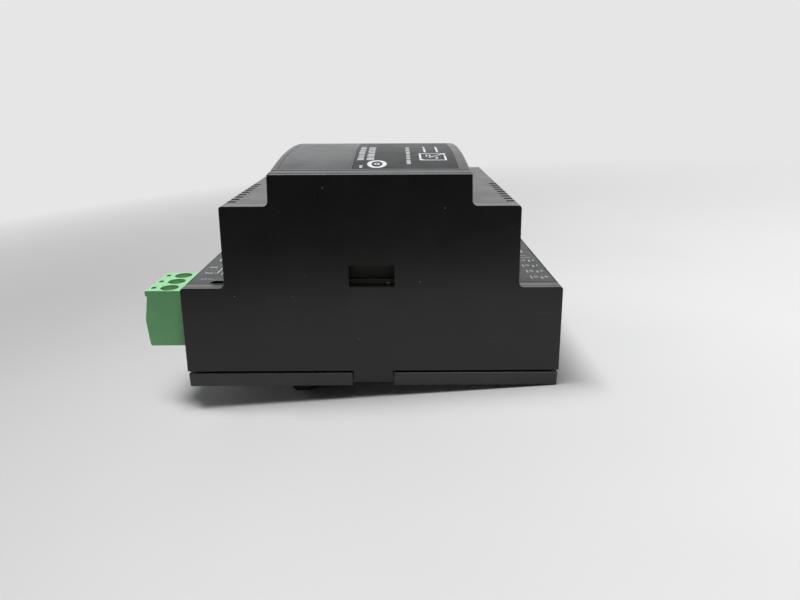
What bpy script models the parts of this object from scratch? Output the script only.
"""A DIN rail power supply in a four-module stepped housing.

The supply lies on its back: X runs across the steps from the input end (-X) to the output end (+X),
Y runs along the rail, and +Z is the front. The origin is the middle of the rail seat.
All sizes are in millimetres and become metres when a mesh is made.
"""

import math

import bmesh
import bpy
from mathutils import Matrix, Vector

MM = 0.001
GAP = 0.3  # clearance between separate pieces

# Housing outline: half widths and heights of the three steps
DEPTH_Y = 71.0
HALF_Y = DEPTH_Y / 2
LOW_FOOT, LOW_HALF, LOW_Z = 46.1, 45.35, 25.9
MID_FOOT, MID_HALF, MID_Z = 34.85, 34.25, 45.3
NOSE_FOOT, NOSE_HALF, NOSE_Z = 23.15, 22.85, 52.3
WALL_Z = 4.2  # lower edge of the housing walls
OUTER_R = 0.7  # rounding of the outline's outer corners
INNER_R = 1.2  # fillet of the side panels' inner corners

# Side panels
PANEL_T = 2.0
RIM_T = 1.8
RIM_Y = HALF_Y - 3.1  # inner end of the rim
PANEL_EDGE_R = 0.5  # rounding of the outer face's edge
TAB_HALF, TAB_Z = 4.9, 1.1
WINDOW_HALF, WINDOW_Z0, WINDOW_Z1 = 5.4, 26.0, 31.4

# Cover between the panels
COVER_T = 2.0
COVER_Y = RIM_Y - GAP
COVER_TOP = 51.7
SLOT_COUNT, SLOT_PITCH, SLOT_W = 9, 3.4, 1.4
SLOT_FIRST_Y = -HALF_Y + 6.0
SLOT_IN = 2.5  # reach of a slot across the step
SLOT_DOWN = 6.5  # reach of a slot down the wall

# Front lid: a shallow arch along Y
LID_Z0 = COVER_TOP + GAP
LID_EDGE_Z, LID_RISE = 52.3, 3.1
LID_T = 1.7
LID_R = 0.7
FILM_T = 0.4
FILM_RECESS = 0.65
FILM_LIFT, FILM_ROOM = 0.2, 0.15  # clearance under a film and round it
WINDOW_FIELD = (-21.2, -4.6)
LABEL_FIELD = (-4.2, 20.2)
FIELD_Y = COVER_Y - 0.9

# Step labels
STEP_LABEL_X = (35.3, 44.6)
STEP_LABEL_T = 0.3
STEP_RECESS = 0.5

# Base plate and rail hooks
BASE_T = 3.6
BASE_HALF_X = 46.0
NOTCH_HALF, NOTCH_Y = 5.25, HALF_Y - 2.4
RAIL_HALF = 17.5
RAIL_GRIP = 1.5  # how far a lip reaches under the rail's flange
FLANGE_GAP = 1.2  # room for the rail's 1 mm flange
HOOK_BOTTOM = -4.6
HOOK_Y, HOOK_HALF_Y = 22.0, 7.0
STANDOFFS = ((-36.0, 24.0), (27.5, -24.0))
STANDOFF_R = 3.2
BOSS_TOP = 4.8  # roof over the latch
BOARD_POSTS = ((-36.0, 31.0), (36.0, 31.0), (36.0, -31.0))  # plain posts under the board's corners
POST_HALF = (3.0, 1.2)
BASE_VENTS, BASE_VENT_HALF = (-38.0, -32.0, -26.0), (1.0, 14.0)

# Rail latch and its spring
LATCH_Z0, LATCH_Z1 = 1.1, 3.2
LATCH_BOTTOM = -1.9
LATCH_HALF_Y = 8.0
LATCH_LIP_HALF_Y = 5.5
LATCH_X0, LATCH_SHOULDER, LATCH_X1 = RAIL_HALF + GAP, 42.5, 47.3
LATCH_WINDOW, LATCH_WINDOW_HALF_Y = (29.8, 38.8), 2.0
DRIVER_SLOT = (1.0, 1.2, 2.5)  # distance from the tab's end, width, half length
DRIVER_ROOM = (3.2, 7.0)  # half width and top of the notch in the cover over the latch's tab
PEG, PEG_HALF_Y = (37.0, 38.5), 1.6
SPRING_Z = 2.15
SPRING_R, WIRE_R, SPRING_COILS = 0.8, 0.17, 7
SPRING_X = (LATCH_WINDOW[0] + 0.25, PEG[0] - 0.1)

# Boards
BOARD_T = 1.6
POWER_Z = 9.4
POWER_TOP = POWER_Z + BOARD_T
POWER_HALF = (42.6, 32.8)
CONTROL_Z = 27.0
CONTROL_TOP = CONTROL_Z + BOARD_T
CONTROL_HALF_X, CONTROL_Y = 28.0, (-31.5, -6.0)
CONTROL_HOLES = ((-24.5, -27.0), (24.5, -27.0))
LINK_X, LINK_HALF_X, LINK_PINS, PIN_PITCH = 7.5, 7.6, 6, 2.54

# Terminals, with the input end's X given as a distance from the middle
PITCH = 5.08
PIN_HALF, PIN_HOLE_R = 0.5, 1.05
PIN_Z = 16.2
IN_POLES, IN_Y0 = 3, -33.0
OUT_POLES, OUT_Y0 = 4, -30.0
HEADER_WALL = 0.9
HEADER_X0, HEADER_BACK, HEADER_MOUTH = 34.0, 35.2, 44.6
HEADER_Z0, HEADER_Z1 = POWER_TOP + GAP, 23.0
PIN_X0, PIN_X1 = 32.4, 42.5
PLUG_Z0, PLUG_Z1 = 10.2, 24.5
NOSE_END = 36.6
NOSE_Z0, NOSE_Z1 = HEADER_Z0 + HEADER_WALL + 0.4, HEADER_Z1 - HEADER_WALL - 0.5
SCREW_X = -49.7
SCREW_HOLE_R, SCREW_HEAD_R, SHANK_R = 2.15, 1.9, 1.2
SHANK_ROOM = 0.4  # added to the shank's radius in the holes that it passes
SCREW_HEAD_Z = (21.9, 23.2)
CLAMP_HALF_Y, CLAMP_WALL = 1.75, 0.55
CLAMP_X = (-52.0, -47.5)
WIRE_ENTRY_HALF, WIRE_ENTRY_Z = 2.1, (12.2, 17.0)
TEST_SLOT_X, TEST_SLOT_HALF_Y = (-54.1, -53.0), 0.75
CAVITY_Z = (11.3, 20.9)

# Trimmer and lamp at the output end
TRIMMER_Y, TRIMMER_Z, TRIMMER_HALF = 20.0, 16.0, 3.4
TRIMMER_X = (36.2, 41.4)
ROTOR_R, ROTOR_SHAFT_R, ROTOR_T = 2.0, 1.1, 1.4
TRIMMER_HOLE_R = 2.6
LAMP_X, LAMP_Y, LAMP_R, LIGHT_PIPE_R = 39.6, 28.0, 1.5, 1.3

COLOURS = {
    "housing": ((0.012, 0.012, 0.013), 0.45, 0.0),
    "lid": ((0.02, 0.02, 0.022), 0.3, 0.0),
    "lid_window": ((0.06, 0.062, 0.065), 0.15, 0.0),
    "label": ((0.03, 0.031, 0.033), 0.35, 0.0),
    "latch": ((0.02, 0.02, 0.022), 0.5, 0.0),
    "spring": ((0.55, 0.55, 0.56), 0.3, 1.0),
    "terminal_green": ((0.07, 0.24, 0.09), 0.4, 0.0),
    "screw_steel": ((0.6, 0.6, 0.61), 0.35, 1.0),
    "contact_tin": ((0.7, 0.69, 0.66), 0.3, 1.0),
    "board": ((0.05, 0.11, 0.04), 0.5, 0.0),
    "link_black": ((0.02, 0.02, 0.02), 0.5, 0.0),
    "fuse_brown": ((0.09, 0.035, 0.015), 0.4, 0.0),
    "varistor_blue": ((0.02, 0.07, 0.22), 0.4, 0.0),
    "capacitor_yellow": ((0.75, 0.5, 0.05), 0.4, 0.0),
    "capacitor_sleeve": ((0.015, 0.02, 0.04), 0.3, 0.0),
    "ferrite": ((0.045, 0.043, 0.043), 0.6, 0.0),
    "copper_wire": ((0.6, 0.22, 0.08), 0.3, 1.0),
    "winding_tape": ((0.7, 0.5, 0.06), 0.4, 0.0),
    "chip_epoxy": ((0.015, 0.015, 0.016), 0.5, 0.0),
    "heatsink": ((0.6, 0.6, 0.61), 0.35, 1.0),
    "lamp_green": ((0.1, 0.55, 0.15), 0.2, 0.0),
    "light_pipe": ((0.7, 0.75, 0.72), 0.1, 0.0),
    "trimmer_blue": ((0.03, 0.12, 0.4), 0.4, 0.0),
    "trimmer_brass": ((0.6, 0.42, 0.15), 0.3, 1.0),
}


# ---------------------------------------------------------------- tools


def clear_scene():
    for obj in list(bpy.data.objects):
        bpy.data.objects.remove(obj)


def material(slot):
    found = bpy.data.materials.get(slot)
    if found:
        return found
    colour, rough, metallic = COLOURS[slot]
    made = bpy.data.materials.new(slot)
    made.use_nodes = True
    shader = made.node_tree.nodes["Principled BSDF"]
    shader.inputs["Base Color"].default_value = (*colour, 1.0)
    shader.inputs["Roughness"].default_value = rough
    shader.inputs["Metallic"].default_value = metallic
    return made


def arc(cx, cy, radius, start, end, steps):
    """Points of an arc, with angles in degrees."""
    angles = [math.radians(start + (end - start) * k / steps) for k in range(steps + 1)]
    return [(cx + radius * math.cos(a), cy + radius * math.sin(a)) for a in angles]


def rounded(points, radii, steps=3):
    """A closed outline with each corner rounded by its own radius."""
    out = []
    count = len(points)
    for k, (x, y) in enumerate(points):
        radius = radii[k]
        if radius <= 0:
            out.append((x, y))
            continue
        here = Vector((x, y))
        before = (Vector(points[k - 1]) - here).normalized()
        after = (Vector(points[(k + 1) % count]) - here).normalized()
        half = before.angle(after) / 2
        reach = radius / math.tan(half)
        centre = here + (before + after).normalized() * (radius / math.sin(half))
        first, last = here + before * reach - centre, here + after * reach - centre
        turn = first.angle_signed(last)
        for s in range(steps + 1):
            spoke = first.copy()
            spoke.rotate(Matrix.Rotation(-turn * s / steps, 2))
            out.append(tuple(centre + spoke))
    return out


def new_mesh(build):
    bm = bmesh.new()
    build(bm)
    bmesh.ops.scale(bm, vec=(MM, MM, MM), verts=bm.verts)
    bmesh.ops.recalc_face_normals(bm, faces=bm.faces)
    mesh = bpy.data.meshes.new("shape")
    bm.to_mesh(mesh)
    bm.free()
    return mesh


def extruded(points, low, high, place):
    """A prism on a flat outline. place turns (u, v, w) into (x, y, z), with w along the extrusion."""

    def build(bm):
        base = [bm.verts.new(place(u, v, low)) for u, v in points]
        face = bm.faces.new(base)
        top = bmesh.ops.extrude_face_region(bm, geom=[face])["geom"]
        move = Vector(place(0, 0, high)) - Vector(place(0, 0, low))
        bmesh.ops.translate(bm, vec=move, verts=[v for v in top if isinstance(v, bmesh.types.BMVert)])

    return new_mesh(build)


def along_x(points, x0, x1):
    """Prism along X on an outline of (y, z)."""
    return extruded(points, x0, x1, lambda u, v, w: (w, u, v))


def along_y(points, y0, y1):
    """Prism along Y on an outline of (x, z)."""
    return extruded(points, y0, y1, lambda u, v, w: (u, w, v))


def along_z(points, z0, z1):
    """Prism along Z on an outline of (x, y)."""
    return extruded(points, z0, z1, lambda u, v, w: (u, v, w))


def rectangle(x0, x1, y0, y1, radius=0.0, steps=2):
    corners = [(x0, y0), (x1, y0), (x1, y1), (x0, y1)]
    return rounded(corners, [radius] * 4, steps) if radius else corners


def block(x0, x1, y0, y1, z0, z1):
    return along_z(rectangle(x0, x1, y0, y1), z0, z1)


def circle(cx, cy, radius, sides):
    return arc(cx, cy, radius, 0, 360 - 360 / sides, sides - 1)


def rod_z(x, y, radius, z0, z1, sides=16):
    return along_z(circle(x, y, radius, sides), z0, z1)


def rod_x(y, z, radius, x0, x1, sides=16):
    return along_x(circle(y, z, radius, sides), x0, x1)


def rod_y(x, z, radius, y0, y1, sides=16):
    return along_y(circle(x, z, radius, sides), y0, y1)


def bevelled(mesh, pick, width, segments):
    """Rounds the edges that pick chooses. pick gets an edge's two ends in millimetres."""
    bm = bmesh.new()
    bm.from_mesh(mesh)
    edges = [e for e in bm.edges if pick(e.verts[0].co / MM, e.verts[1].co / MM)]
    bmesh.ops.bevel(
        bm, geom=edges, offset=width * MM, offset_type="OFFSET", segments=segments, profile=0.5,
        affect="EDGES", clamp_overlap=True,
    )
    bm.to_mesh(mesh)
    bm.free()
    return mesh


def helper(mesh):
    obj = bpy.data.objects.new("helper", mesh)
    bpy.context.scene.collection.objects.link(obj)
    obj.hide_render = True
    obj.display_type = "WIRE"
    return obj


def combined(base, add=(), cut=()):
    """base, with the add meshes united to it and then the cut meshes taken away."""
    target = helper(base)
    tools = []
    for operation, meshes in (("UNION", add), ("DIFFERENCE", cut)):
        for mesh in meshes:
            tool = helper(mesh)
            tools.append(tool)
            modifier = target.modifiers.new(operation.lower(), "BOOLEAN")
            modifier.operation = operation
            modifier.solver = "EXACT"
            modifier.use_self = operation == "DIFFERENCE"
            modifier.object = tool
    bpy.context.view_layer.update()
    graph = bpy.context.evaluated_depsgraph_get()
    result = bpy.data.meshes.new_from_object(target.evaluated_get(graph))
    for obj in [target, *tools]:
        bpy.data.objects.remove(obj)
    return result


def piece(name, mesh, slot, origin=(0.0, 0.0, 0.0), parent=None, smooth=None):
    """A finished piece whose object origin is at the given point, in millimetres."""
    place = Vector(origin) * MM
    mesh.transform(Matrix.Translation(-place))
    mesh.name = name
    mesh.materials.clear()
    mesh.materials.append(material(slot))
    if smooth:
        mesh.shade_smooth()
        mesh.set_sharp_from_angle(angle=math.radians(smooth))
    obj = bpy.data.objects.new(name, mesh)
    bpy.context.scene.collection.objects.link(obj)
    obj.location = place
    if parent:
        bpy.context.view_layer.update()
        obj.parent = parent
        obj.matrix_parent_inverse = parent.matrix_world.inverted()
    return obj


def axis_empty(name, origin, parent=None):
    empty = bpy.data.objects.new(name, None)
    empty.empty_display_size = 5 * MM
    bpy.context.scene.collection.objects.link(empty)
    empty.location = Vector(origin) * MM
    if parent:
        bpy.context.view_layer.update()
        empty.parent = parent
        empty.matrix_parent_inverse = parent.matrix_world.inverted()
    bpy.context.view_layer.update()
    return empty


def mirrored(mesh, axis):
    """The mesh mirrored across X, Y or Z = 0, with its faces turned back out."""
    scale = [-1 if axis == name else 1 for name in "XYZ"]
    out = mesh.copy()
    out.transform(Matrix.Diagonal((*scale, 1)))
    out.flip_normals()
    return out


def header_y(poles, y0):
    """A header's outer ends along Y, for a row of poles that starts at y0."""
    return y0 - 0.2, y0 + poles * PITCH + 0.2


def pole_y(y0, k):
    return y0 + PITCH * (k + 0.5)


# ---------------------------------------------------------------- housing


def step_outline(inset, foot_z, top_z, rounding=True):
    """The stepped outline (x, z), shrunk by inset, from its foot to the top of the nose."""
    right = [
        (LOW_FOOT - inset, foot_z, 0.0),
        (LOW_HALF - inset, LOW_Z - inset, OUTER_R),
        (MID_FOOT - inset, LOW_Z - inset, INNER_R),
        (MID_HALF - inset, MID_Z - inset, OUTER_R),
        (NOSE_FOOT - inset, MID_Z - inset, INNER_R),
        (NOSE_HALF - inset, top_z - inset, OUTER_R),
    ]
    left = [(-x, z, r) for x, z, r in reversed(right)]
    ring = right + left
    points = [(x, z) for x, z, _ in ring]
    return rounded(points, [r if rounding else 0.0 for _, _, r in ring])


def side_panel(header_cut):
    """The panel at -Y: a plate with a rim round its steps, a tab at the foot and a vent window.

    The top of its nose carries on the lid's arch.
    header_cut opens the rim where the input header passes.
    """
    outer = along_y(step_outline(0, WALL_Z, lid_z(RIM_Y)), -HALF_Y, -RIM_Y)
    sky = lid_curve(-HALF_Y - 1, -RIM_Y + 1, 0, 4) + [(-RIM_Y + 1, LOW_Z * 3), (-HALF_Y - 1, LOW_Z * 3)]
    outer = combined(outer, cut=[along_x(sky, -MID_HALF, MID_HALF)])
    edge_z = WALL_Z + 0.01
    outer = bevelled(
        outer,
        lambda a, b: max(abs(a.y + HALF_Y), abs(b.y + HALF_Y)) < 0.01 and max(a.z, b.z) > edge_z,
        PANEL_EDGE_R,
        2,
    )
    pocket = along_y(step_outline(RIM_T, WALL_Z - 3, NOSE_Z, False), -HALF_Y + PANEL_T, -RIM_Y + 1)
    tab = block(-TAB_HALF, TAB_HALF, -HALF_Y, -HALF_Y + PANEL_T, TAB_Z, WALL_Z + 1)
    window = block(-WINDOW_HALF, WINDOW_HALF, -HALF_Y - 1, -RIM_Y + 1, WINDOW_Z0, WINDOW_Z1)
    cuts = [pocket, window]
    if header_cut:
        low = header_y(IN_POLES, IN_Y0)[0] - GAP
        cuts.append(block(-50, -40, low, -RIM_Y + 1, HEADER_Z0 - GAP, HEADER_Z1 + GAP))
    return combined(outer, add=[tab], cut=cuts)


def housing():
    near = side_panel(True)
    far = mirrored(side_panel(False), "Y")
    piece("left_side_panel", near, "housing", (0, -HALF_Y, LOW_Z))
    piece("right_side_panel", far, "housing", (0, HALF_Y, LOW_Z))

    outer = along_y(step_outline(0, WALL_Z, COVER_TOP), -COVER_Y, COVER_Y)
    hollow = along_y(step_outline(COVER_T, WALL_Z - 3, COVER_TOP, False), -COVER_Y - 1, COVER_Y + 1)
    cuts = [hollow]
    for side in (-1, 1):
        for k in range(SLOT_COUNT):
            y = SLOT_FIRST_Y + k * SLOT_PITCH
            x0, x1 = sorted((side * (MID_HALF - SLOT_IN), side * (MID_HALF + 2)))
            cuts.append(block(x0, x1, y - SLOT_W / 2, y + SLOT_W / 2, MID_Z - SLOT_DOWN, MID_Z + 1))
        x0, x1 = sorted(side * x for x in (STEP_LABEL_X[0] - 0.2, STEP_LABEL_X[1] + 0.2))
        cuts.append(block(x0, x1, -COVER_Y + 0.6, COVER_Y - 0.6, LOW_Z - STEP_RECESS, LOW_Z + 1))
    for side, poles, y0 in ((-1, IN_POLES, IN_Y0), (1, OUT_POLES, OUT_Y0)):
        low, high = header_y(poles, y0)
        x0, x1 = sorted((side * 40, side * 50))
        cuts.append(block(x0, x1, low - GAP, high + GAP, HEADER_Z0 - GAP, HEADER_Z1 + GAP))
    cuts.append(rod_x(TRIMMER_Y, TRIMMER_Z, TRIMMER_HOLE_R, 40, 50))
    cuts.append(block(40, 50, -DRIVER_ROOM[0], DRIVER_ROOM[0], WALL_Z - 1, DRIVER_ROOM[1]))
    cuts.append(rod_z(LAMP_X, LAMP_Y, LIGHT_PIPE_R + GAP, LOW_Z - 4, LOW_Z + 1))
    cover = combined(outer, cut=cuts)
    piece("top_cover", cover, "housing", (0, 0, LOW_Z))


# ---------------------------------------------------------------- front lid and labels


def lid_z(y, edge=LID_EDGE_Z, rise=LID_RISE):
    return edge + rise * (1 - (y / HALF_Y) ** 2)


def lid_curve(y0, y1, drop, steps=14):
    places = [y0 + (y1 - y0) * k / steps for k in range(steps + 1)]
    return [(y, lid_z(y) - drop) for y in places]


def arched(x0, x1, y_half, top_drop, thickness):
    """A curved slab under the lid's surface: its top lies top_drop below that surface."""
    top = lid_curve(-y_half, y_half, top_drop)
    bottom = lid_curve(y_half, -y_half, top_drop + thickness)
    return along_x(top + bottom, x0, x1)


def front_lid():
    profile = [(COVER_Y, LID_Z0), (-COVER_Y, LID_Z0)] + lid_curve(-COVER_Y, COVER_Y, 0)
    outer = along_x(profile, -NOSE_HALF, NOSE_HALF)
    outer = bevelled(
        outer,
        lambda a, b: abs(a.x) > NOSE_HALF - 0.01 and abs(b.x) > NOSE_HALF - 0.01
        and abs(a.x - b.x) < 0.01 and min(a.z, b.z) > LID_Z0 + 0.3,
        LID_R,
        3,
    )
    under_y = COVER_Y - LID_T
    hollow_profile = [(under_y, LID_Z0 - 1), (-under_y, LID_Z0 - 1)] + lid_curve(-under_y, under_y, LID_T)
    hollow = along_x(hollow_profile, -NOSE_HALF + LID_T, NOSE_HALF - LID_T)
    recesses = [
        arched(field[0] - FILM_ROOM, field[1] + FILM_ROOM, FIELD_Y + FILM_ROOM, -3.0, 3.0 + FILM_RECESS)
        for field in (WINDOW_FIELD, LABEL_FIELD)
    ]
    lid = combined(outer, cut=[hollow, *recesses])
    lid_obj = piece("front_lid", lid, "lid", (0, 0, LID_Z0), smooth=30)
    film_drop = FILM_RECESS - FILM_T - FILM_LIFT
    window = arched(*WINDOW_FIELD, FIELD_Y, film_drop, FILM_T)
    piece("lid_window", window, "lid_window", (WINDOW_FIELD[0], 0, LID_Z0), lid_obj, smooth=30)
    label = arched(*LABEL_FIELD, FIELD_Y, film_drop, FILM_T)
    piece("front_label", label, "label", (LABEL_FIELD[0], 0, LID_Z0), lid_obj, smooth=30)


def step_labels():
    z1 = LOW_Z + 0.05
    y = COVER_Y - 0.8
    left = block(-STEP_LABEL_X[1], -STEP_LABEL_X[0], -y, y, z1 - STEP_LABEL_T, z1)
    piece("input_label", left, "label", (-LOW_HALF, 0, LOW_Z))
    right = block(*STEP_LABEL_X, -y, y, z1 - STEP_LABEL_T, z1)
    right = combined(right, cut=[rod_z(LAMP_X, LAMP_Y, LIGHT_PIPE_R + GAP, LOW_Z - 4, LOW_Z + 1)])
    piece("output_label", right, "label", (LOW_HALF, 0, LOW_Z))


# ---------------------------------------------------------------- base, hooks and latch


def base_plate():
    plate = along_z(rectangle(-BASE_HALF_X, BASE_HALF_X, -HALF_Y, HALF_Y, 0.4), 0, BASE_T)
    plate = bevelled(plate, lambda a, b: abs(a.z - b.z) < 0.01, 0.25, 1)
    tip = -RAIL_HALF + RAIL_GRIP
    back = -RAIL_HALF - 4.0
    face = -RAIL_HALF - GAP
    hook_profile = [
        (back, 1.0),
        (back, HOOK_BOTTOM + 0.8),
        (back + 0.8, HOOK_BOTTOM),
        (tip - 1.2, HOOK_BOTTOM),
        (tip, HOOK_BOTTOM + 1.4),
        (tip, -FLANGE_GAP),
        (face, -FLANGE_GAP),
        (face, 1.0),
    ]
    adds = [along_y(hook_profile, y - HOOK_HALF_Y, y + HOOK_HALF_Y) for y in (-HOOK_Y, HOOK_Y)]
    adds += [rod_z(x, y, STANDOFF_R, BASE_T - 1, POWER_Z - GAP, 20) for x, y in STANDOFFS]
    half_x, half_y = POST_HALF
    adds += [block(x - half_x, x + half_x, y - half_y, y + half_y, BASE_T - 1, POWER_Z - GAP)
             for x, y in BOARD_POSTS]
    roof_y = LATCH_HALF_Y + 2
    adds.append(block(LATCH_X0 - 3, LATCH_SHOULDER + 0.5, -roof_y, roof_y, BASE_T - 1, BOSS_TOP))
    side = LATCH_HALF_Y + GAP
    cuts = []
    for end in (-1, 1):
        y0, y1 = sorted((end * NOTCH_Y, end * (HALF_Y + 1)))
        cuts.append(block(-NOTCH_HALF, NOTCH_HALF, y0, y1, -1, BASE_T + 1))
    # The latch's channel, open at the output end, and the slot below it for the lip
    end_x = BASE_HALF_X + 1
    cuts.append(block(LATCH_X0 - GAP, end_x, -side, side, LATCH_Z0 - GAP, LATCH_Z1 + GAP))
    cuts.append(block(LATCH_SHOULDER + 0.5, end_x, -side, side, LATCH_Z1, BOSS_TOP + 1))
    slot = LATCH_LIP_HALF_Y + 0.6
    cuts.append(block(RAIL_HALF - RAIL_GRIP - GAP, end_x, -slot, slot, -1, LATCH_Z0))
    cuts += [rod_z(x, y, SHANK_R + SHANK_ROOM, BASE_T + 0.5, POWER_Z + 1, 12) for x, y in STANDOFFS]
    vent_x, vent_y = BASE_VENT_HALF
    cuts += [block(x - vent_x, x + vent_x, -vent_y, vent_y, -1, BASE_T + 1) for x in BASE_VENTS]
    plate = combined(plate, add=adds, cut=cuts)
    peg = block(*PEG, -PEG_HALF_Y, PEG_HALF_Y, SPRING_Z - 1.0, BOSS_TOP - 0.5)
    return combined(plate, add=[peg])


def rail_latch():
    """A flat slide with a lip under the rail's flange, a window for the spring and a slotted pull tab."""
    tip = RAIL_HALF - RAIL_GRIP
    slide = block(LATCH_X0, LATCH_SHOULDER, -LATCH_HALF_Y, LATCH_HALF_Y, LATCH_Z0, LATCH_Z1)
    tab = block(LATCH_SHOULDER - 1, LATCH_X1, -LATCH_LIP_HALF_Y, LATCH_LIP_HALF_Y, LATCH_Z0, LATCH_Z1)
    root_z = LATCH_Z0 + 0.5
    lip_profile = [
        (tip + 2.6, LATCH_BOTTOM),
        (tip + 4.5, LATCH_BOTTOM),
        (tip + 5.5, -FLANGE_GAP),
        (tip + 5.5, root_z),
        (LATCH_X0, root_z),
        (LATCH_X0, -FLANGE_GAP),
        (tip, -FLANGE_GAP),
        (tip, -FLANGE_GAP - 0.3),
    ]
    lip = along_y(lip_profile, -LATCH_LIP_HALF_Y, LATCH_LIP_HALF_Y)
    window_y = LATCH_WINDOW_HALF_Y
    window = block(*LATCH_WINDOW, -window_y, window_y, LATCH_Z0 - 1, LATCH_Z1 + 1)
    from_end, width, half = DRIVER_SLOT
    slot_x = LATCH_X1 - from_end
    driver_slot = block(slot_x - width, slot_x, -half, half, LATCH_Z0 - 1, LATCH_Z1 + 1)
    return combined(slide, add=[tab, lip], cut=[window, driver_slot])


def coil_place(turn, x0, x1):
    """Where the spring's wire is along X after so many turns: the first and last turns lie closed."""
    closed = 2.2 * WIRE_R
    start, end = x0 + WIRE_R, x1 - WIRE_R
    if turn < 1:
        return start + closed * turn
    if turn > SPRING_COILS - 1:
        return end - closed * (SPRING_COILS - turn)
    share = (turn - 1) / (SPRING_COILS - 2)
    return start + closed + share * (end - start - 2 * closed)


def coil_mesh(x0, x1, per_turn=10, sides=6):
    """The latch's compression spring along X, a round wire on a helix."""
    along = Vector((1, 0, 0))

    def build(bm):
        rings = []
        for k in range(SPRING_COILS * per_turn + 1):
            turn = k / per_turn
            angle = 2 * math.pi * turn
            out = Vector((0, math.cos(angle), math.sin(angle)))
            centre = Vector((coil_place(turn, x0, x1), 0, SPRING_Z)) + out * SPRING_R
            spokes = [2 * math.pi * side / sides for side in range(sides)]
            rings.append([bm.verts.new(centre + (out * math.cos(a) + along * math.sin(a)) * WIRE_R)
                          for a in spokes])
        for first, last in zip(rings, rings[1:]):
            for side in range(sides):
                after = (side + 1) % sides
                bm.faces.new((first[side], first[after], last[after], last[side]))
        bm.faces.new(rings[0])
        bm.faces.new(rings[-1])

    return new_mesh(build)


def base_group():
    piece("base_plate", base_plate(), "housing")
    latch_axis = axis_empty("latch_slide_axis", (LATCH_X0, 0, LATCH_Z0))
    piece("rail_latch", rail_latch(), "latch", (LATCH_X0, 0, LATCH_Z0), latch_axis)
    piece("latch_spring", coil_mesh(*SPRING_X), "spring", (SPRING_X[1], 0, SPRING_Z), smooth=60)


# ---------------------------------------------------------------- terminals


def header(side, poles, y0):
    """An open pin header: a box with its mouth in the end wall. side is -1 at the input end."""
    low, high = header_y(poles, y0)
    body = block(HEADER_X0, HEADER_MOUTH, low, high, HEADER_Z0, HEADER_Z1)
    wall = HEADER_WALL
    cavity = block(
        HEADER_BACK, HEADER_MOUTH + 1, low + wall, high - wall, HEADER_Z0 + wall, HEADER_Z1 - wall
    )
    cuts = [cavity]
    for k in range(poles):
        y = pole_y(y0, k)
        hole = PIN_HALF + GAP
        cuts.append(block(HEADER_X0 - 1, HEADER_BACK + 1, y - hole, y + hole, PIN_Z - hole, PIN_Z + hole))
    mesh = combined(body, cut=cuts)
    return mirrored(mesh, "X") if side < 0 else mesh


def header_pin(side, y):
    """A bent square pin: level in the header's cavity, then down through the power board."""
    profile = [
        (PIN_X0, POWER_Z - 1.6),
        (PIN_X0 + 2 * PIN_HALF, POWER_Z - 1.6),
        (PIN_X0 + 2 * PIN_HALF, PIN_Z - PIN_HALF),
        (PIN_X1 - 0.4, PIN_Z - PIN_HALF),
        (PIN_X1, PIN_Z - PIN_HALF + 0.3),
        (PIN_X1, PIN_Z + PIN_HALF - 0.3),
        (PIN_X1 - 0.4, PIN_Z + PIN_HALF),
        (PIN_X0, PIN_Z + PIN_HALF),
    ]
    mesh = along_y(profile, y - PIN_HALF, y + PIN_HALF)
    return mirrored(mesh, "X") if side < 0 else mesh


def plug_housing():
    """The green plug: the block outside the wall, and a nose that slides into the header."""
    y0, y1 = IN_Y0, IN_Y0 + IN_POLES * PITCH
    profile = [
        (-46.3, PLUG_Z0),
        (-55.0, PLUG_Z0),
        (-55.3, PLUG_Z0 + 0.4),
        (-55.6, 16.6),
        (-55.5, 17.6),
        (-54.5, 22.9),
        (-54.9, 23.4),
        (-54.9, PLUG_Z1 - 0.2),
        (-54.7, PLUG_Z1),
        (-45.75, PLUG_Z1),
    ]
    body = along_y(profile, y0, y1)
    inset = HEADER_WALL + 0.25
    low, high = header_y(IN_POLES, IN_Y0)
    nose = block(-47.0, -NOSE_END, low + inset, high - inset, NOSE_Z0, NOSE_Z1)
    cuts = []
    for k in range(IN_POLES):
        y = pole_y(IN_Y0, k)
        cavity = CLAMP_HALF_Y + GAP
        cuts += [
            rod_z(SCREW_X, y, SCREW_HOLE_R, 21.6, PLUG_Z1 + 1, 24),
            rod_z(SCREW_X, y, SHANK_R + SHANK_ROOM, CAVITY_Z[1] - 0.4, 21.8, 12),
            block(CLAMP_X[0] - GAP, CLAMP_X[1] + GAP, y - cavity, y + cavity, *CAVITY_Z),
            block(-58, CLAMP_X[0] - 0.1, y - WIRE_ENTRY_HALF, y + WIRE_ENTRY_HALF, *WIRE_ENTRY_Z),
            block(CLAMP_X[1] + 0.1, -NOSE_END + 1, y - 1.3, y + 1.3, PIN_Z - 1.6, PIN_Z + 1.8),
            block(*TEST_SLOT_X, y - TEST_SLOT_HALF_Y, y + TEST_SLOT_HALF_Y, 22.3, PLUG_Z1 + 1),
        ]
    return combined(body, add=[nose], cut=cuts)


def clamp_screw(y):
    head_z0, head_z1 = SCREW_HEAD_Z
    head = rod_z(SCREW_X, y, SCREW_HEAD_R, head_z0, head_z1, 20)
    shank = rod_z(SCREW_X, y, SHANK_R, PIN_Z + 1.8, head_z0 + 0.3, 12)
    slot = block(SCREW_X - 3, SCREW_X + 3, y - 0.35, y + 0.35, head_z1 - 0.7, head_z1 + 1)
    return combined(head, add=[shank], cut=[slot])


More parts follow.
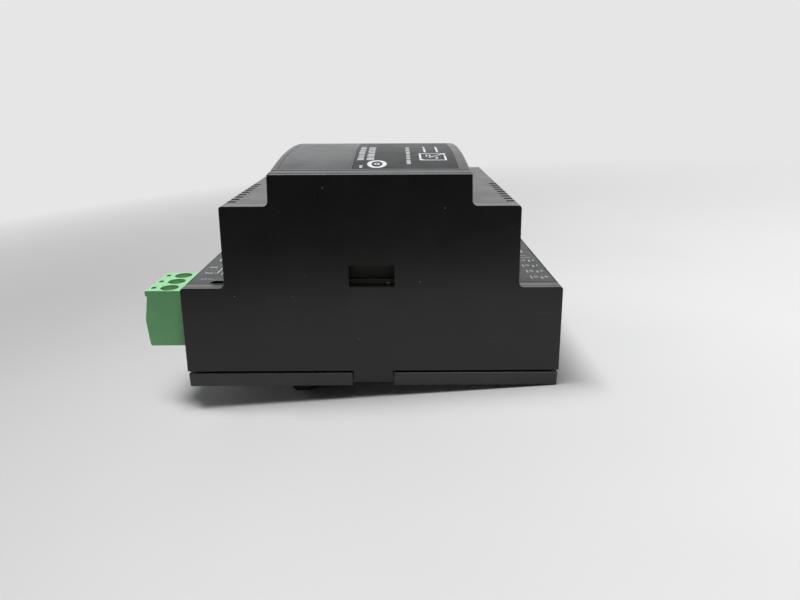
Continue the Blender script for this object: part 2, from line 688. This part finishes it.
def rising_clamp(y):
    """A square collar that the screw lifts to press the wire against the contact bar."""
    z0, z1 = CAVITY_Z[0] + GAP, PIN_Z + 2.9
    outer = block(*CLAMP_X, y - CLAMP_HALF_Y, y + CLAMP_HALF_Y, z0, z1)
    inner = CLAMP_HALF_Y - CLAMP_WALL
    opening = block(CLAMP_X[0] - 1, CLAMP_X[1] + 1, y - inner, y + inner, z0 + 1.0, PIN_Z + 1.8)
    hole = rod_z(SCREW_X, y, SHANK_R + GAP, PIN_Z, z1 + 1, 12)
    return combined(outer, cut=[opening, hole])


def plug_contact(y):
    """The contact bar that the clamp grips, ending in two leaves on either side of the header's pin."""
    half = 0.85
    leaf = 0.5
    gap = PIN_HALF + GAP
    web = -45.6
    profile = [
        (CLAMP_X[0] + 0.4, PIN_Z + gap + 0.7),
        (CLAMP_X[0] + 0.4, PIN_Z + gap),
        (web - 0.8, PIN_Z + gap),
        (web - 0.8, PIN_Z - gap - leaf),
        (-NOSE_END - 0.8, PIN_Z - gap - leaf),
        (-NOSE_END - 0.8, PIN_Z - gap),
        (web, PIN_Z - gap),
        (web, PIN_Z + gap),
        (-NOSE_END - 0.8, PIN_Z + gap),
        (-NOSE_END - 0.8, PIN_Z + gap + leaf),
        (web, PIN_Z + gap + leaf),
        (web, PIN_Z + gap + 0.7),
    ]
    return along_y(profile, y - half, y + half)


def terminals():
    piece("input_header", header(-1, IN_POLES, IN_Y0), "terminal_green")
    piece("output_header", header(1, OUT_POLES, OUT_Y0), "terminal_green")
    for name, side, poles, y0 in (("input", -1, IN_POLES, IN_Y0), ("output", 1, OUT_POLES, OUT_Y0)):
        for k in range(poles):
            piece(f"{name}_pin_{k + 1}", header_pin(side, pole_y(y0, k)), "contact_tin")
    plug_origin = (-45.4, IN_Y0, PLUG_Z0)
    plug_axis = axis_empty("plug_slide_axis", plug_origin)
    piece("input_plug", plug_housing(), "terminal_green", plug_origin, plug_axis)
    for k in range(IN_POLES):
        y = pole_y(IN_Y0, k)
        top = (SCREW_X, y, SCREW_HEAD_Z[0])
        piece(f"clamp_screw_{k + 1}", clamp_screw(y), "screw_steel", top, plug_axis)
        piece(f"rising_clamp_{k + 1}", rising_clamp(y), "screw_steel", (SCREW_X, y, CAVITY_Z[0]), plug_axis)
        piece(f"plug_contact_{k + 1}", plug_contact(y), "contact_tin", (SCREW_X, y, PIN_Z), plug_axis)


# ---------------------------------------------------------------- boards


def power_board():
    half_x, half_y = POWER_HALF
    board = along_z(rectangle(-half_x, half_x, -half_y, half_y, 1.0), POWER_Z, POWER_TOP)
    cuts = [rod_z(x, y, SHANK_R + SHANK_ROOM, POWER_Z - 1, POWER_TOP + 1, 12) for x, y in STANDOFFS]
    for side, poles, y0 in ((-1, IN_POLES, IN_Y0), (1, OUT_POLES, OUT_Y0)):
        for k in range(poles):
            x = side * (PIN_X0 + PIN_HALF)
            cuts.append(rod_z(x, pole_y(y0, k), PIN_HOLE_R, POWER_Z - 1, POWER_TOP + 1, 8))
    return combined(board, cut=cuts)


def control_board():
    outline = rectangle(-CONTROL_HALF_X, CONTROL_HALF_X, *CONTROL_Y, 0.6)
    board = along_z(outline, CONTROL_Z, CONTROL_TOP)
    holes = [rod_z(x, y, 1.6, CONTROL_Z - 1, CONTROL_TOP + 1, 12) for x, y in CONTROL_HOLES]
    return combined(board, cut=holes)


def board_link(y):
    """A strip of square pins in two plastic bars, between the boards."""
    z0, z1 = POWER_TOP + GAP, CONTROL_Z - GAP
    bar = (LINK_X - LINK_HALF_X, LINK_X + LINK_HALF_X, y - PIN_PITCH / 2, y + PIN_PITCH / 2)
    lower = block(*bar, z0, z0 + 2.5)
    upper = block(*bar, z1 - 2.5, z1)
    places = [LINK_X + PIN_PITCH * (k - (LINK_PINS - 1) / 2) for k in range(LINK_PINS)]
    pins = [block(x - 0.35, x + 0.35, y - 0.35, y + 0.35, z0 + 1, z1 - 1) for x in places]
    return combined(lower, add=[upper, *pins])


def board_screw(x, y):
    head = rod_z(x, y, 2.8, POWER_TOP + GAP, POWER_TOP + 2.0, 20)
    head = bevelled(head, lambda a, b: min(a.z, b.z) > POWER_TOP + 1.9, 0.5, 2)
    shank = rod_z(x, y, SHANK_R, POWER_Z - 4.5, POWER_TOP + 0.8, 12)
    slots = [block(x - 1.6, x + 1.6, y - 0.3, y + 0.3, POWER_TOP + 1.2, POWER_TOP + 3),
             block(x - 0.3, x + 0.3, y - 1.6, y + 1.6, POWER_TOP + 1.2, POWER_TOP + 3)]
    return combined(head, add=[shank], cut=slots)


def boards():
    piece("power_board", power_board(), "board", (0, 0, POWER_Z))
    piece("control_board", control_board(), "board", (0, sum(CONTROL_Y) / 2, CONTROL_Z))
    for name, y in (("board_link_inner", -9.0), ("board_link_outer", -21.5)):
        piece(name, board_link(y), "link_black", (LINK_X, y, POWER_TOP))
    for k, (x, y) in enumerate(STANDOFFS):
        piece(f"board_screw_{k + 1}", board_screw(x, y), "screw_steel", (x, y, POWER_TOP))


# ---------------------------------------------------------------- electronic parts

SEAT = POWER_TOP + GAP  # underside of the parts on the power board
LEAD_R = 0.35

# x and y of the middle, then radius and height
FUSE = (-26.6, -27.0, 4.2, 7.6)
BULK_CAPACITOR = (-20.0, 14.6, 11.0, 29.0)
OUTPUT_CAPACITORS = ((32.0, -2.0, 4.9, 11.5), (32.0, 9.5, 4.9, 11.5))
OUTPUT_INDUCTOR = (30.3, 26.4, 4.6, 10.0)

# x0, x1, y0, y1
FILM_CAPACITOR = (-21.0, -3.5, -31.0, -24.0)
BRIDGE = (3.0, 22.0, -30.0, -26.4)

VARISTOR_X, VARISTOR_Y, VARISTOR_R = -26.6, (-18.5, -14.5), 5.2
CHOKE_X, CHOKE_Y, CHOKE_INNER, CHOKE_OUTER = -11.0, -14.0, 3.6, 6.2
CHOKE_HEIGHT, CHOKE_LIFT, WINDING_T = 5.5, 0.9, 0.6

CORE_X, CORE_Y, CORE_HALF_X, CORE_HALF_Y = 11.0, 15.0, 13.0, 6.0
CORE_HEIGHT, CORE_YOKE, CORE_LEG, CORE_LIFT = 26.0, 4.5, 3.5, 1.2
BOBBIN_WALL, BOBBIN_HALF_Y = 0.8, 12.0

SINK_Y, SINK_T, SINK_HEIGHT = -4.2, 1.6, 26.0


def can(x, y, radius, height, sides=24):
    """A capacitor's or a fuse's can, with a rounded top edge and a groove near its foot."""
    body = rod_z(x, y, radius, SEAT, SEAT + height, sides)
    body = bevelled(body, lambda a, b: min(a.z, b.z) > SEAT + height - 0.01, 0.6, 2)
    groove = ring_z(x, y, radius - 0.35, radius + 1, SEAT + 1.6, SEAT + 2.4, sides)
    return combined(body, cut=[groove])


def soft_block(x0, x1, y0, y1, z0, z1, radius=0.6):
    """A block with rounded upright edges and a small chamfer round its top."""
    mesh = along_z(rectangle(x0, x1, y0, y1, radius), z0, z1)
    return bevelled(mesh, lambda a, b: min(a.z, b.z) > z1 - 0.01, radius * 0.6, 1)


def with_leads(body, leads, z_top):
    """The body with round leads that stand on the board."""
    return combined(body, add=[rod_z(x, y, LEAD_R, SEAT, z_top, 8) for x, y in leads])


def disc_y(x, y0, y1, z, radius):
    """A disc that stands on edge, facing along Y, with rounded rims."""
    mesh = rod_y(x, z, radius, y0, y1, 24)
    return bevelled(mesh, lambda a, b: abs(a.y - b.y) < 0.01, 0.6, 2)


def ring_z(x, y, inner, outer, z0, z1, sides=32):
    return combined(rod_z(x, y, outer, z0, z1, sides), cut=[rod_z(x, y, inner, z0 - 1, z1 + 1, sides)])


def choke():
    """A ring core that lies flat, and its winding, which leaves a bare stretch at +Y."""
    x, y = CHOKE_X, CHOKE_Y
    z0 = SEAT + CHOKE_LIFT
    z1 = z0 + CHOKE_HEIGHT
    room = GAP + WINDING_T
    piece("choke_core", ring_z(x, y, CHOKE_INNER, CHOKE_OUTER, z0, z1), "ferrite", (x, y, z0))
    sleeve = ring_z(x, y, CHOKE_INNER - room, CHOKE_OUTER + room, z0 - room + 0.3, z1 + room)
    hollow = ring_z(x, y, CHOKE_INNER - GAP, CHOKE_OUTER + GAP, z0 - GAP, z1 + GAP)
    bare = along_z([(x, y + 1.2), (x + 5.5, y + 9), (x - 5.5, y + 9)], z0 - 3, z1 + 3)
    piece("choke_winding", combined(sleeve, cut=[bare, hollow]), "copper_wire", (x, y, z0))


def centred(x, y, half_x, half_y, z0, z1):
    return block(x - half_x, x + half_x, y - half_y, y + half_y, z0, z1)


def transformer():
    """An E core on its side legs, with the bobbin and its winding on the middle leg."""
    x, y = CORE_X, CORE_Y
    z0 = SEAT + CORE_LIFT
    z1 = z0 + CORE_HEIGHT
    inner = CORE_HALF_X - CORE_LEG
    windows = []
    for side in (-1, 1):
        low, high = sorted((x + side * CORE_LEG, x + side * inner))
        windows.append(block(low, high, y - 7, y + 7, z0 + CORE_YOKE, z1 - CORE_YOKE))
    core = combined(centred(x, y, CORE_HALF_X, CORE_HALF_Y, z0, z1), cut=windows)
    piece("transformer_core", core, "ferrite", (x, y, z0))

    tube_x, tube_y = CORE_LEG + GAP, CORE_HALF_Y + GAP
    low, high = z0 + CORE_YOKE + GAP, z1 - CORE_YOKE - GAP
    room_x = inner - GAP
    flanges = [centred(x, y, room_x, BOBBIN_HALF_Y, *z) for z in ((low, low + 1), (high - 1, high))]
    tube = centred(x, y, tube_x + BOBBIN_WALL, tube_y + BOBBIN_WALL, low, high)
    bore = centred(x, y, tube_x, tube_y, low - 1, high + 1)
    piece("transformer_bobbin", combined(tube, add=flanges, cut=[bore]), "link_black", (x, y, low))

    half_x, half_y = room_x - 0.6, BOBBIN_HALF_Y - 0.8
    outline = rectangle(x - half_x, x + half_x, y - half_y, y + half_y, 3.0, 4)
    room = BOBBIN_WALL + GAP
    hole = centred(x, y, tube_x + room, tube_y + room, low, high)
    winding = combined(along_z(outline, low + 1.3, high - 1.3), cut=[hole])
    piece("transformer_winding", winding, "winding_tape", (x, y, low))


def heatsink(x0, x1):
    """A standing plate with a turned-over top."""
    top = SEAT + SINK_HEIGHT
    plate = block(x0, x1, SINK_Y, SINK_Y + SINK_T, SEAT, top)
    lip = block(x0, x1, SINK_Y - 1.4, SINK_Y + SINK_T, top - SINK_T, top)
    return combined(plate, add=[lip])


def power_package(x, front):
    """A flat power package: a tab with a hole, a moulded body and three legs on the board."""
    tab = block(x - 5, x + 5, front, front + 1.5, SEAT + 5.5, SEAT + 20.5)
    body = soft_block(x - 5, x + 5, front + 1.3, front + 4.2, SEAT + 5, SEAT + 14.5, 0.4)
    legs = [block(x + dx - 0.4, x + dx + 0.4, front + 2.2, front + 2.8, SEAT, SEAT + 6)
            for dx in (-PIN_PITCH, 0, PIN_PITCH)]
    hole = rod_y(x, SEAT + 17.5, 1.8, front - 1, front + 3, 12)
    return combined(tab, add=[body, *legs], cut=[hole])


def heatsinks():
    front = SINK_Y + SINK_T + GAP
    for sink, x0, x1, package, x in (
        ("transistor_heatsink", -31.0, -8.0, "switch_transistor", -19.5),
        ("rectifier_heatsink", 2.0, 25.5, "output_rectifier", 11.0),
    ):
        piece(sink, heatsink(x0, x1), "heatsink", (x0, SINK_Y, SEAT))
        piece(package, power_package(x, front), "chip_epoxy", (x, front, SEAT))


def dual_in_line(x, y, length, z0, pins):
    """A chip with legs down both long sides, standing at z0."""
    body = soft_block(x - length / 2, x + length / 2, y - 3.1, y + 3.1, z0 + 0.8, z0 + 4.2, 0.3)
    legs = []
    for k in range(pins):
        leg_x = x + (k - (pins - 1) / 2) * PIN_PITCH
        for side in (-1, 1):
            for near, z_low, z_high in ((2.8, 2.0, 2.4), (3.6, 0.0, 2.3)):
                low, high = sorted((y + side * near, y + side * 3.9))
                legs.append(block(leg_x - 0.4, leg_x + 0.4, low, high, z0 + z_low, z0 + z_high))
    return combined(body, add=legs)


def electronics():
    piece("fuse", can(*FUSE, 20), "fuse_brown", (*FUSE[:2], SEAT))
    y = sum(VARISTOR_Y) / 2
    disc = disc_y(VARISTOR_X, *VARISTOR_Y, SEAT + 6.2, VARISTOR_R)
    leads = [(VARISTOR_X - 2.5, y), (VARISTOR_X + 2.5, y)]
    piece("varistor", with_leads(disc, leads, SEAT + 4), "varistor_blue", (VARISTOR_X, y, SEAT))
    film = soft_block(*FILM_CAPACITOR, SEAT, SEAT + 12.5)
    piece("x_capacitor", film, "capacitor_yellow", (FILM_CAPACITOR[0], FILM_CAPACITOR[2], SEAT))
    choke()
    bridge = soft_block(*BRIDGE, SEAT + 3, SEAT + 13.5, 0.5)
    x0, x1, y0, y1 = BRIDGE
    y = (y0 + y1) / 2
    leads = [(x0 + 2.5 + (x1 - x0 - 5) * k / 3, y) for k in range(4)]
    piece("bridge_rectifier", with_leads(bridge, leads, SEAT + 4), "chip_epoxy", (x0, y, SEAT))
    piece("bulk_capacitor", can(*BULK_CAPACITOR, 32), "capacitor_sleeve", (*BULK_CAPACITOR[:2], SEAT))
    for k, place in enumerate(OUTPUT_CAPACITORS, 1):
        piece(f"output_capacitor_{k}", can(*place), "capacitor_sleeve", (*place[:2], SEAT))
    heatsinks()
    transformer()
    x, y, radius, height = OUTPUT_INDUCTOR
    waist = ring_z(x, y, radius - 0.7, radius + 1.4, SEAT + 1.5, SEAT + height - 1.5, 24)
    drum = combined(rod_z(x, y, radius, SEAT, SEAT + height, 24), cut=[waist])
    piece("output_inductor", drum, "ferrite", (x, y, SEAT))
    piece("optocoupler", dual_in_line(22.0, -17.5, 5.0, SEAT, 2), "chip_epoxy", (22.0, -17.5, SEAT))
    chip_z = CONTROL_TOP + GAP
    piece("control_chip", dual_in_line(0.0, -15.0, 10.0, chip_z, 4), "chip_epoxy", (0.0, -15.0, chip_z))


# ---------------------------------------------------------------- trimmer and lamp


def trimmer():
    """A square trimmer that faces the output wall, with a slotted rotor in its bore."""
    y, z, half = TRIMMER_Y, TRIMMER_Z, TRIMMER_HALF
    back, front = TRIMMER_X
    body = block(back, front, y - half, y + half, SEAT, z + half)
    bore = rod_x(y, z, ROTOR_SHAFT_R + GAP, front - 2.2, front + 1, 16)
    piece("trimmer_body", combined(body, cut=[bore]), "trimmer_blue", (back, y, SEAT))
    face = front + GAP
    axis = axis_empty("trimmer_axis", (face, y, z))
    disc = rod_x(y, z, ROTOR_R, face, face + ROTOR_T, 20)
    shaft = rod_x(y, z, ROTOR_SHAFT_R, front - 1.8, face + 0.5, 16)
    slot = block(face + ROTOR_T / 2, face + 2, y - 1.6, y + 1.6, z - 0.3, z + 0.3)
    rotor = combined(disc, add=[shaft], cut=[slot])
    piece("trimmer_rotor", rotor, "trimmer_brass", (face, y, z), axis)


def lamp():
    """The lamp on the board, and the light pipe that carries it to the output label."""
    x, y = LAMP_X, LAMP_Y
    top = SEAT + 2.6
    dome = rod_z(x, y, LAMP_R, SEAT, top, 16)
    dome = bevelled(dome, lambda a, b: min(a.z, b.z) > top - 0.01, 0.9, 3)
    flange = rod_z(x, y, LAMP_R + 0.3, SEAT, SEAT + 0.6, 16)
    piece("status_lamp", combined(dome, add=[flange]), "lamp_green", (x, y, SEAT))
    foot = top + 0.4
    pipe = rod_z(x, y, LIGHT_PIPE_R, foot, LOW_Z + 0.3, 16)
    under = LOW_Z - COVER_T - GAP
    collar = rod_z(x, y, LIGHT_PIPE_R + 0.9, under - 1.1, under, 16)
    piece("light_pipe", combined(pipe, add=[collar]), "light_pipe", (x, y, foot))


def main():
    clear_scene()
    housing()
    front_lid()
    step_labels()
    base_group()
    terminals()
    boards()
    electronics()
    trimmer()
    lamp()


main()
